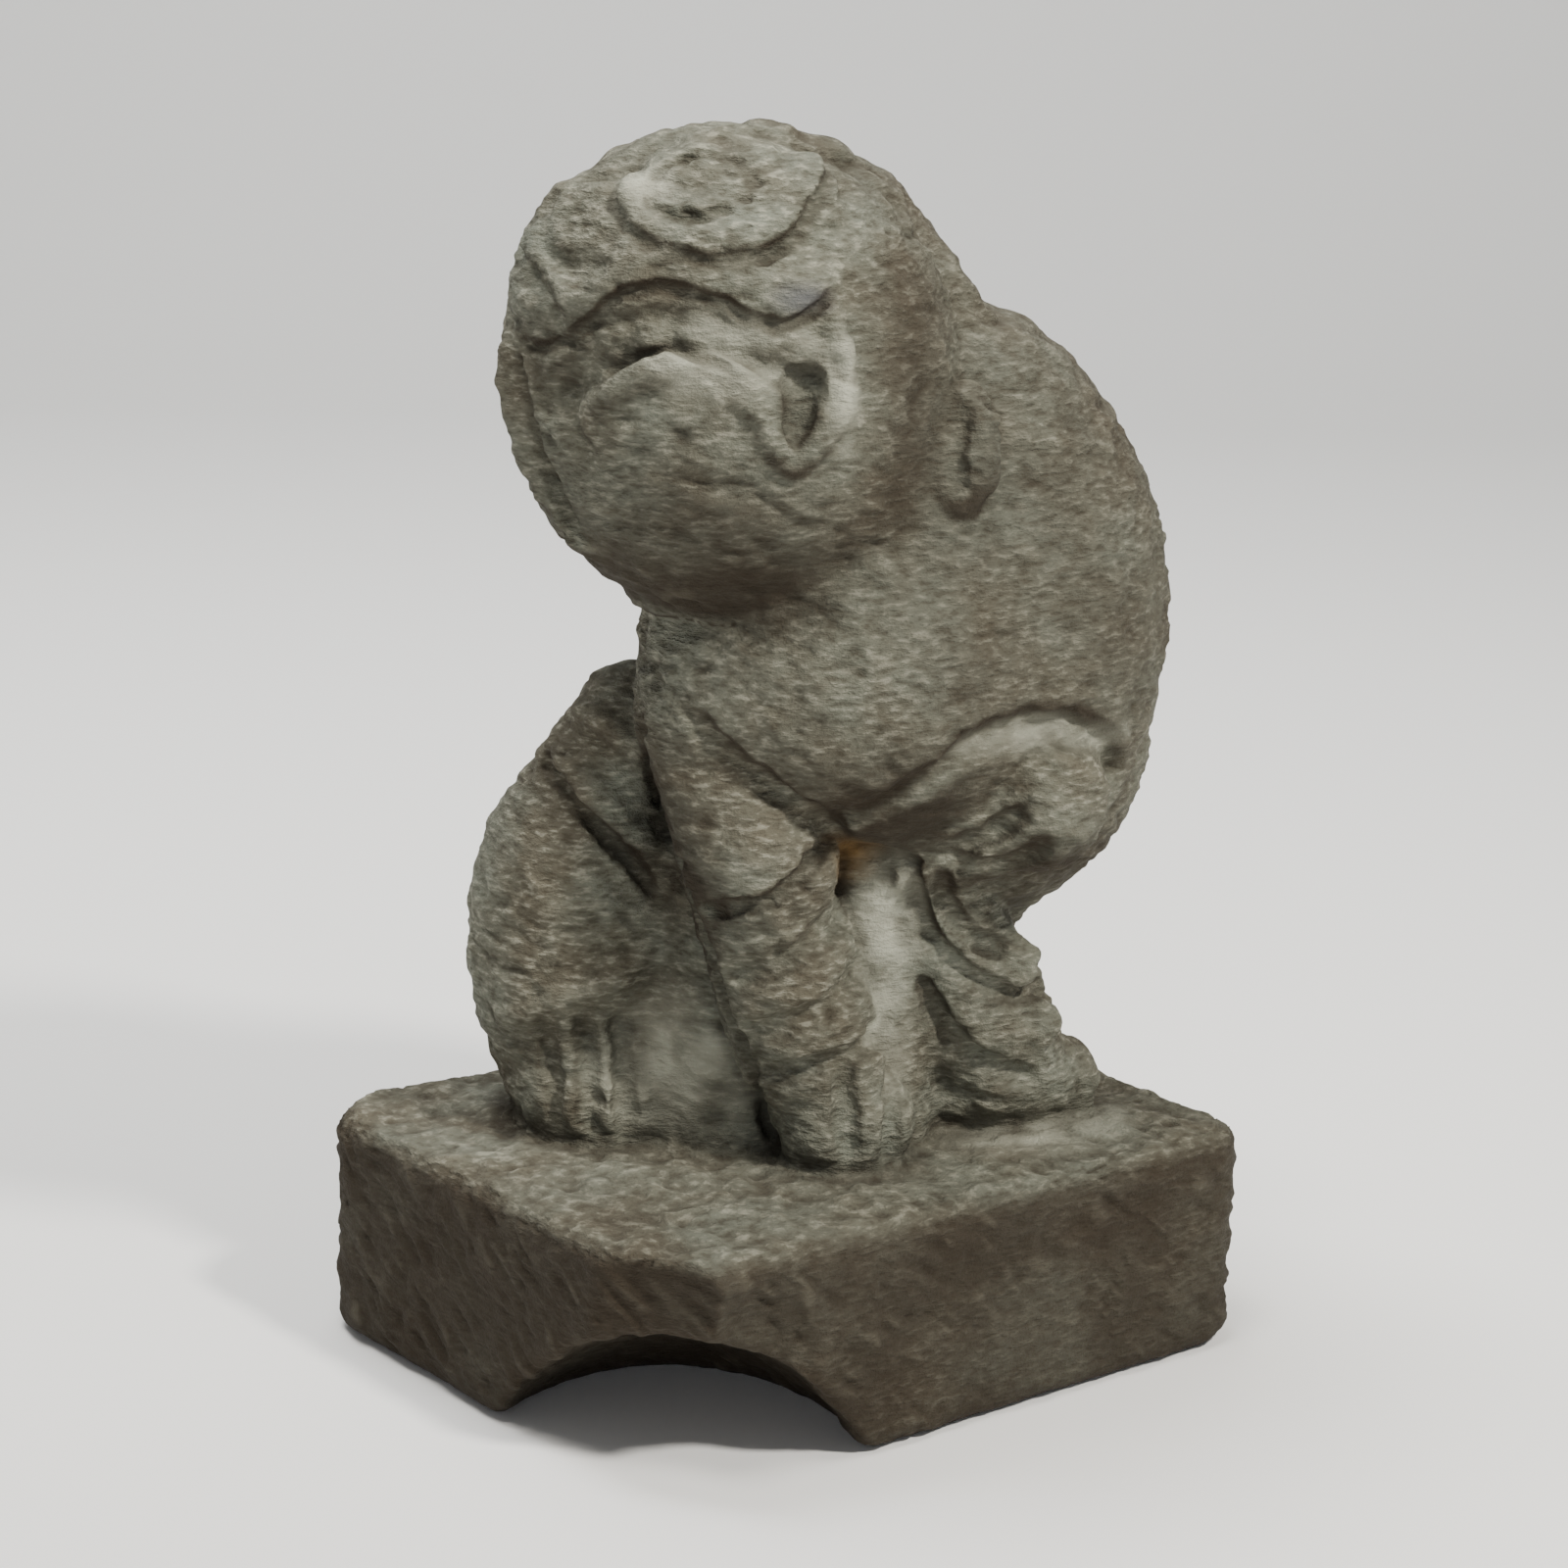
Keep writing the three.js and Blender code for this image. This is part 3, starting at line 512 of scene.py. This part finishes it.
def carve_beast():
    stone = Carving()
    stone.add(carve_trunk())
    hind_leg = carve_hind_leg()
    stone.add(hind_leg, 3).add(Mirrored(hind_leg, BODY_MIDDLE, -6), 3)
    between_forelegs = Rod([(-15, 7, 219), (-23, 13, 114)], (48, 52))
    before_hind_leg = Rod([(6, -45, 236), (20, -45, 114)], (26, 27))
    stone.add(between_forelegs, 12).add(before_hind_leg, 10)
    stone.add(carve_far_foreleg(), 12)
    stone.add(carve_near_foreleg(), 3)
    stone.add(carve_head(), 14)
    over_thigh = [(18, 258), (40, 266), (64, 282), (84, 297), (104, 303), (126, 301), (144, 290), (150, 274)]
    groove(stone, on_side, over_thigh, 14, 4, 4)
    behind_arm = [(-66, 300), (-60, 272), (-49, 242), (-38, 211), (-24, 168), (-12, 136), (-4, 106)]
    groove(stone, on_side, behind_arm, 9, 5)
    under_chest = [(-43, 305), (-19, 284), (11, 265), (22, 252)]
    groove(stone, on_side, under_chest, 12, 5, 3)
    boss(stone, (70, 422), (19, 30, 15), -2, -6, 3)
    inside_ear = [(72, 444), (69, 434), (68, 420), (70, 406)]
    groove(stone, on_side, inside_ear, 12, 4.5)
    return stone


def carve_slab():
    corners = [SLAB_CORNERS[k] for k in ("front_left", "front_right", "back_left", "back_right")]
    stone = Carving()
    stone.add(Block((SLAB["length"], SLAB["width"], SLAB["height"]), corners, SLAB["edge"]))
    front_scar, side_scar = Ball((-218, -156, 50), (81, 81, 130)), Ball((-123, -179, 55), (49, 49, 60))
    stone.cut(front_scar, 6).cut(side_scar, 6)
    away = np.array([cos(radians(BREAK["heading"])), sin(radians(BREAK["heading"])), 0])
    across = np.cross((0, 0, 1), away)
    outside = BREAK["outside"]
    middle = (-SLAB["length"] / 2 - outside[0], -SLAB["width"] / 2 - outside[1], -BREAK["depth"])
    hollow = Ball(middle, (BREAK["reach"], BREAK["half"], BREAK["rise"]), [away, across, (0, 0, 1)])
    stone.cut(hollow, 8)
    return stone


def carve_block():
    return Carving().add(carve_slab()).add(carve_beast(), 10)


# The skin, as a mesh

def lattice(low, cell, index):
    return low + cell * index


def sampled(stone, low, high):
    """The carving's distances on a fine grid, worked out only close to its surface."""
    levels = (4 * CELL, 2 * CELL, CELL)
    count = np.ceil((high - low) / levels[0]).astype(int) + 1
    field = None
    for step in levels:
        if field is None:
            index = np.indices(count).reshape(3, -1).T
            field = stone.at(lattice(low, step, index)).reshape(count)
            continue
        near = np.abs(field) < 1.9 * (2 * step)
        field = field.repeat(2, 0).repeat(2, 1).repeat(2, 2)
        near = near.repeat(2, 0).repeat(2, 1).repeat(2, 2)
        index = np.argwhere(near)
        field[near] = stone.at(lattice(low, step, index))
    for axis in range(3):
        for end in (0, -1):
            field[(slice(None),) * axis + (end,)] = FAR
    return field


def nets(field, low):
    """One vertex in each cell that the surface crosses, and a face across each edge that it crosses."""
    hits, cells, flips = [], [], []
    for axis in range(3):
        a = np.moveaxis(field, axis, 0)[:-1]
        b = np.moveaxis(field, axis, 0)[1:]
        at = np.argwhere((a < 0) != (b < 0))
        u, v = a[tuple(at.T)], b[tuple(at.T)]
        other = [n for n in range(3) if n != axis]
        place = np.empty((len(at), 3), int)
        place[:, axis], place[:, other[0]], place[:, other[1]] = at.T
        hit = place.astype(float)
        hit[:, axis] += u / (u - v)
        s, t = np.eye(3, dtype=int)[(axis + 1) % 3], np.eye(3, dtype=int)[(axis + 2) % 3]
        hits.append(hit)
        cells.append(np.stack([place - s - t, place - t, place, place - s], 1))
        flips.append(u >= 0)
    hits, cells, flips = np.concatenate(hits), np.concatenate(cells), np.concatenate(flips)
    keys = np.ravel_multi_index(tuple(cells.reshape(-1, 3).T), field.shape)
    _, number = np.unique(keys, return_inverse=True)
    share = np.bincount(number)
    four = np.repeat(hits, 4, 0)
    points = np.stack([np.bincount(number, four[:, n]) / share for n in range(3)], -1)
    faces = number.reshape(-1, 4)
    faces[flips] = faces[flips][:, ::-1]
    return low + CELL * points, faces


def slope(stone, p, step=0.6):
    """Which way is out of the stone, at points."""
    g = [stone.at(p + step * e) - stone.at(p - step * e) for e in np.eye(3)]
    return np.stack(g, -1) / (2 * step)


def settle(stone, points):
    """Moves vertices onto the carved surface, and gives the way out at each."""
    g = slope(stone, points)
    steep = np.maximum((g * g).sum(-1), 0.2)
    move = -g * (stone.at(points) / steep)[:, None]
    far = length(move)[:, None]
    points = points + move * np.minimum(1, 0.6 * CELL / np.maximum(far, 1e-9))
    return points, g / np.sqrt(np.maximum((g * g).sum(-1), 1e-9))[:, None]


# Weathering: noise that is worked out the same way each time

def noise(p, cell, seed):
    """Smooth noise between -1 and 1 on a lattice of cells of this size."""
    q = p / np.asarray(cell, float)
    base = np.floor(q).astype(np.int64)
    t = q - base
    t = t * t * (3 - 2 * t)
    total = np.zeros(len(p))
    for corner in np.ndindex(2, 2, 2):
        i = base + corner
        h = i[:, 0] * 73856093 ^ i[:, 1] * 19349663 ^ i[:, 2] * 83492791 ^ seed * 2654435761
        h = (h ^ (h >> 13)) * 1274126177
        h = (h ^ (h >> 16)) & 0xFFFFFF
        w = np.prod(np.where(np.array(corner) == 1, t, 1 - t), -1)
        total += w * (h / 0x7FFFFF - 1)
    return total


def chisel(p):
    """Height of the chisel's short strokes, in millimetres: long across, narrow up and down.

    The strokes lie nearly level on the beast and slope on the slab's sides."""
    slab = np.clip((GROUND + 4 - p[:, 2]) / 10, 0, 1)
    drift = np.stack([noise(p, 23, 5), noise(p, 23, 6), noise(p, 23, 7)], -1) * 6
    q = p + drift
    q[:, 2] += (0.2 + 0.55 * slab) * (p @ ACROSS)
    strokes = STROKES["height"] * noise(q, STROKES["cell"], STROKES["pattern"])
    fine = FINE_STROKES["height"] * noise(q, FINE_STROKES["cell"], FINE_STROKES["pattern"])
    pits = PITS["height"] * np.minimum(noise(q, PITS["cell"], PITS["pattern"]) + PITS["level"], 0)
    return (1 - 0.15 * slab) * (strokes + fine + pits)


def weathering(p):
    """Height of the broad unevenness that wear has left, in millimetres."""
    return 1.2 * noise(p, 34, 1) + 0.6 * noise(p, 15, 2)


def shaded(stone, p, out, reach):
    """How shut in a place is, from 0 in the open to about 1 in a deep hollow."""
    return np.clip(1 - stone.at(p + out * reach) / reach, 0, 1.5)


def near_to(p, place, half):
    """1 at a place on the stone, falling to 0 at this half size from it."""
    return np.clip(1.25 - 1.25 * length((p - place) / half), 0, 1)


def dirt_and_shade(p, out, deep):
    """Where the stone is painted darker: brown dirt on the slab and the hump, and painted shade under the
    chin, the chest and the belly, on the slab's faces turned down and to the left, on the sides turned away
    between the legs, in deep hollows and in the dark spots.
    """
    # The slab is painted darker all over, as dirt, and more on faces turned down or to the left, as painted
    # shade
    face = 0.9 - 0.12 * out[:, 2] + 0.12 * np.clip(-2 * out[:, 0] - 0.4, 0, 1)
    slab = np.clip((GROUND + 3 - p[:, 2]) / 9, 0, 1) * face
    # Painted shade on faces turned down, under the chin, the chest and the belly
    under = np.clip(-1.3 * out[:, 2], 0, 1) * np.clip((p[:, 2] - 200) / 40, 0, 1)
    between_legs = np.clip(1 - np.abs(p[:, 2] - 230) / 110, 0, 1) * (p[:, 1] < 10)
    # Painted shade on the sides turned away from the light between the legs, such as the near arm's left
    # side
    turned_away_shade = np.clip(-out @ ACROSS - 0.25, 0, 1) * between_legs
    hump = 0.5 * np.clip((p[:, 2] - 290) / 50, 0, 1) * np.clip((p[:, 0] + 60) / 50, 0, 1)
    # Painted shade in deep hollows, and random darker tone
    dark = slab + under + hump + 1.6 * turned_away_shade + 0.6 * np.clip(deep - 0.4, 0, 1) + 0.15 * noise(p, 26, 21)
    for place, half, most in DIRT_AND_SHADE_SPOTS.values():
        dark = dark + most * near_to(p, place, half)
    return np.clip(dark, 0, 1)


def pale_wear_and_light(p):
    """Where the stone is painted paler, partly pale worn stone and partly painted light where light catches
    it: between the legs, round the feet, over the knee and the jaw.
    """
    pale = np.zeros(len(p))
    for place, half in PALE_WEAR_AND_LIGHT_SPOTS.values():
        pale = np.maximum(pale, near_to(p, place, half))
    pale = pale * (1 - near_to(p, *MOUTH_CORNER))
    return pale * (0.75 + 0.6 * noise(p, 12, 22))


def skin_mesh():
    stone = carve_block()
    low = np.array([-SLAB["length"] / 2 - MARGIN, -SLAB["width"] / 2 - MARGIN, -MARGIN])
    high = np.array([SLAB["length"] / 2 + 3 * MARGIN, SLAB["width"] / 2 + MARGIN, TOP_OF_GRID])
    points, faces = nets(sampled(stone, low, high), low)
    points, out = settle(stone, points)
    # How shut in the skin is, at two reaches: both darken the colour as painted shade in grooves and
    # hollows, with dirt
    hollow = shaded(stone, points, out, 6)
    deep = shaded(stone, points, out, 22)
    marks = chisel(points)
    keep = np.clip(points[:, 2] / FLAT_BELOW, 0, 1)
    points = points + out * (keep * (marks + weathering(points)))[:, None]
    points[:, 2] = np.maximum(points[:, 2], 0)
    mesh = bpy.data.meshes.new("carved_beast")
    mesh.vertices.add(len(points))
    mesh.vertices.foreach_set("co", (points * MM).ravel())
    mesh.loops.add(faces.size)
    mesh.loops.foreach_set("vertex_index", faces.ravel())
    mesh.polygons.add(len(faces))
    mesh.polygons.foreach_set("loop_start", np.arange(0, faces.size, 4))
    mesh.update(calc_edges=True)
    mesh.validate()
    tints = {"hollow": hollow, "marks": marks,
             "dirt_and_shade": dirt_and_shade(points, out, deep), "pale_wear_and_light": pale_wear_and_light(points),
             "ochre": near_to(points, *OCHRE_SPOT), "slate": near_to(points, *SLATE_SPOT)}
    for name, values in tints.items():
        layer = mesh.attributes.new(name, "FLOAT", "POINT")
        layer.data.foreach_set("value", values.astype(np.float32))
    return mesh


def carved_stone():
    piece = bpy.data.objects.new("carved_beast_stone", skin_mesh())
    bpy.context.collection.objects.link(piece)
    thin = piece.modifiers.new("thin", "DECIMATE")
    thin.ratio = FACES / (2 * len(piece.data.polygons))
    thin.use_collapse_triangulate = True
    depsgraph = bpy.context.evaluated_depsgraph_get()
    thinned = bpy.data.meshes.new_from_object(piece.evaluated_get(depsgraph))
    piece.modifiers.clear()
    piece.data = thinned
    piece.data.shade_smooth()
    return piece


# Stone, weathered outdoors: coarse grey-green grit, browned by dirt and painted shade, paler where it is
# worn and where painted light falls

def linear(code):
    """An sRGB colour code as linear light, with full alpha."""
    channels = [int(code[i:i + 2], 16) / 255 for i in (1, 3, 5)]
    return (*[c / 12.92 if c <= 0.04045 else ((c + 0.055) / 1.055) ** 2.4 for c in channels], 1.0)


def node(tree, kind, settings=None, links=None):
    """Adds a node with its settings, and links each named input to another node's output."""
    made = tree.nodes.new(kind)
    for key, value in (settings or {}).items():
        if key in made.inputs:
            made.inputs[key].default_value = value
        else:
            setattr(made, key, value)
    for key, source in (links or {}).items():
        tree.links.new(source, made.inputs[key])
    return made


def streaks(tree, place, long, tall):
    """Noise drawn out along the level, like short tool marks: its sizes are in mm."""
    stretch = (1 / (long * MM), 1 / (long * MM), 1 / (tall * MM))
    stretched = node(tree, "ShaderNodeMapping", {"Rotation": (0.0, radians(8), 0.0), "Scale": stretch},
                     {"Vector": place})
    return node(tree, "ShaderNodeTexNoise", {"Scale": 1.0, "Detail": 3.0, "Roughness": 0.6},
                {"Vector": stretched.outputs["Vector"]}).outputs["Fac"]


def mixed(tree, factor, colour, code):
    """Mixes a colour, an output, with the colour of a code, by a factor that is an output."""
    made = node(tree, "ShaderNodeMix", {"data_type": "RGBA"})
    tree.links.new(factor, made.inputs["Factor"])
    tree.links.new(colour, made.inputs[6])
    made.inputs[7].default_value = linear(code)
    return made.outputs[2]


def between(tree, value, low, high, most=1.0):
    """Where a value lies between two others, from 0 up to the most."""
    return node(tree, "ShaderNodeMapRange", {"From Min": low, "From Max": high, "To Max": most},
                {"Value": value}).outputs["Result"]


def attribute(tree, name):
    return node(tree, "ShaderNodeAttribute", {"attribute_name": name}).outputs["Fac"]


def stone_material():
    """Coarse tooled sandstone: greenish grey in the open, brown where dirt stays and with painted shade
    under things and in hollows, pale on worn ridges and with painted light where light catches it.
    """
    material = bpy.data.materials.new("weathered_sandstone")
    material.use_nodes = True
    tree = material.node_tree
    tree.nodes.clear()
    place = node(tree, "ShaderNodeTexCoord").outputs["Object"]
    patches = node(tree, "ShaderNodeTexNoise", {"Scale": 1 / (60 * MM), "Detail": 4.0, "Roughness": 0.6},
                   {"Vector": place}).outputs["Fac"]
    grit = node(tree, "ShaderNodeTexNoise", {"Scale": 1 / (1.6 * MM), "Detail": 3.0, "Roughness": 0.7},
                {"Vector": place}).outputs["Fac"]
    streak = streaks(tree, place, 7, 2.4)
    ground = node(tree, "ShaderNodeValToRGB", links={"Fac": patches})
    ground.color_ramp.elements[0].position, ground.color_ramp.elements[1].position = 0.36, 0.64
    ground.color_ramp.elements[0].color = linear("#5b574a")
    ground.color_ramp.elements[1].color = linear("#6f7266")
    colour = ground.outputs["Color"]
    marks = attribute(tree, "marks")
    # Each layer: what it follows, from where to where in it, how strong it gets, and its colour
    layers = ((streak, 0.48, 0.34, 0.5, "#332c20"),
              (streak, 0.53, 0.68, 0.4, "#b3b19f"),
              # Dirt, and painted shade under things, on sides turned from the light and in hollows
              (attribute(tree, "dirt_and_shade"), 0.0, 1.0, 0.92, "#2c241a"),
              # Paler on the chisel marks' crests: worn stone with painted highlight
              (marks, 0.6, 1.8, 0.1, "#a5a08c"),
              # Pale worn stone, and painted light where the stone catches light
              (attribute(tree, "pale_wear_and_light"), 0.0, 1.0, 0.8, "#b0b1a0"),
              (attribute(tree, "ochre"), 0.0, 1.0, 0.7, "#8a6a3c"),
              (attribute(tree, "slate"), 0.0, 1.0, 0.8, "#5c5d5f"),
              # Darker in the chisel marks' troughs and pits: dirt with painted shade
              (marks, -0.4, -2.4, 0.6, "#2b241a"),
              # Painted shade in the grooves and small hollows, with dirt
              (attribute(tree, "hollow"), 0.12, 0.8, 0.6, "#2a2218"))
    for value, low, high, most, code in layers:
        colour = mixed(tree, between(tree, value, low, high, most), colour, code)
    height = node(tree, "ShaderNodeMix", {"Factor": 0.3})
    tree.links.new(streak, height.inputs[2])
    tree.links.new(grit, height.inputs[3])
    bump = node(tree, "ShaderNodeBump", {"Strength": 1.0, "Distance": 3.4 * MM},
                {"Height": height.outputs[0]})
    # Dry weathered stone is matt all over
    shader = node(tree, "ShaderNodeBsdfPrincipled", {"Roughness": 0.92, "Specular IOR Level": 0.25},
                  {"Base Color": colour, "Normal": bump.outputs["Normal"]})
    node(tree, "ShaderNodeOutputMaterial", links={"Surface": shader.outputs["BSDF"]})
    return material


# The view: camera, floor and soft studio lights

CAMERA = {"at": (-1028.1, -1296.8, 669.9), "heading": 51.67, "down": 13.761, "roll": 1.0537, "lens": 85.5,
          "sensor": 36}


def add_camera():
    heading, down, roll = (radians(CAMERA[k]) for k in ("heading", "down", "roll"))
    ahead = np.array([cos(down) * cos(heading), cos(down) * sin(heading), -sin(down)])
    right = np.array([sin(heading), -cos(heading), 0])
    up = np.cross(right, ahead)
    right, up = cos(roll) * right + sin(roll) * up, cos(roll) * up - sin(roll) * right
    data = bpy.data.cameras.new("view")
    data.sensor_width, data.lens = CAMERA["sensor"], CAMERA["lens"]
    data.clip_start, data.clip_end = 0.05, 50
    camera = bpy.data.objects.new("view", data)
    turn = Matrix(np.stack([right, up, -ahead], 1)).to_4x4()
    camera.matrix_world = Matrix.Translation(np.array(CAMERA["at"]) * MM) @ turn
    bpy.context.collection.objects.link(camera)
    bpy.context.scene.camera = camera
    return camera


def add_floor():
    """A pale floor that curves up to a wall far behind, so that no edge shows. Its sizes are in metres."""
    floor_mesh = bpy.data.meshes.new("floor")
    across, ahead = np.array((0.784, -0.62, 0)), np.array((0.62, 0.784, 0))
    nearest, curve_from, curve, top, wide = -4, 3, 1.5, 9, 9
    bend = [(curve_from + curve * sin(a), curve - curve * cos(a)) for a in np.radians(range(10, 91, 10))]
    profile = [(nearest, 0), (curve_from, 0), *bend, (curve_from + curve, top)]
    sides = (-wide, wide)
    corners = [tuple(side * across + far * ahead + high * UP) for far, high in profile for side in sides]
    faces = [(2 * i, 2 * i + 1, 2 * i + 3, 2 * i + 2) for i in range(len(profile) - 1)]
    floor_mesh.from_pydata(corners, [], faces)
    floor_mesh.shade_smooth()
    floor = bpy.data.objects.new("floor", floor_mesh)
    bpy.context.collection.objects.link(floor)
    material = bpy.data.materials.new("pale_floor")
    material.use_nodes = True
    shader = material.node_tree.nodes["Principled BSDF"]
    shader.inputs["Base Color"].default_value = linear("#f2f2f0")
    shader.inputs["Roughness"].default_value = 0.95
    floor.data.materials.append(material)


def add_light(name, at, aim, size, power, colour):
    """A round soft light: its place, aim and size in metres, and its power in watts."""
    data = bpy.data.lights.new(name, "AREA")
    data.shape, data.size, data.energy, data.color = "DISK", size, power, linear(colour)[:3]
    lamp = bpy.data.objects.new(name, data)
    back = unit(np.subtract(at, aim))
    right = unit(np.cross((0, 0, 1), back))
    turn = Matrix(np.stack([right, np.cross(back, right), back], 1)).to_4x4()
    lamp.matrix_world = Matrix.Translation(at) @ turn
    bpy.context.collection.objects.link(lamp)


def add_lights():
    middle = (0, 0, 0.3)
    add_light("key", (0.25, -1.7, 2.0), middle, 0.3, 70, "#fffaf2")
    add_light("top", (-0.7, -0.4, 2.4), middle, 0.7, 26, "#fffaf2")
    add_light("front", (-2.0, -1.9, 0.7), middle, 1.2, 9, "#f4f6ff")
    add_light("wall", (-0.2, 0.8, 2.8), (1.9, 2.4, 0.4), 1.5, 110, "#ffffff")
    world = bpy.data.worlds.new("studio")
    world.use_nodes = True
    world.node_tree.nodes["Background"].inputs["Color"].default_value = linear("#f4f4f4")
    world.node_tree.nodes["Background"].inputs["Strength"].default_value = 0.24
    bpy.context.scene.world = world


add_camera()
add_floor()
add_lights()
beast = carved_stone()
beast.data.materials.append(stone_material())
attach(beast, "root")
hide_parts("carved_beast_and_slab")
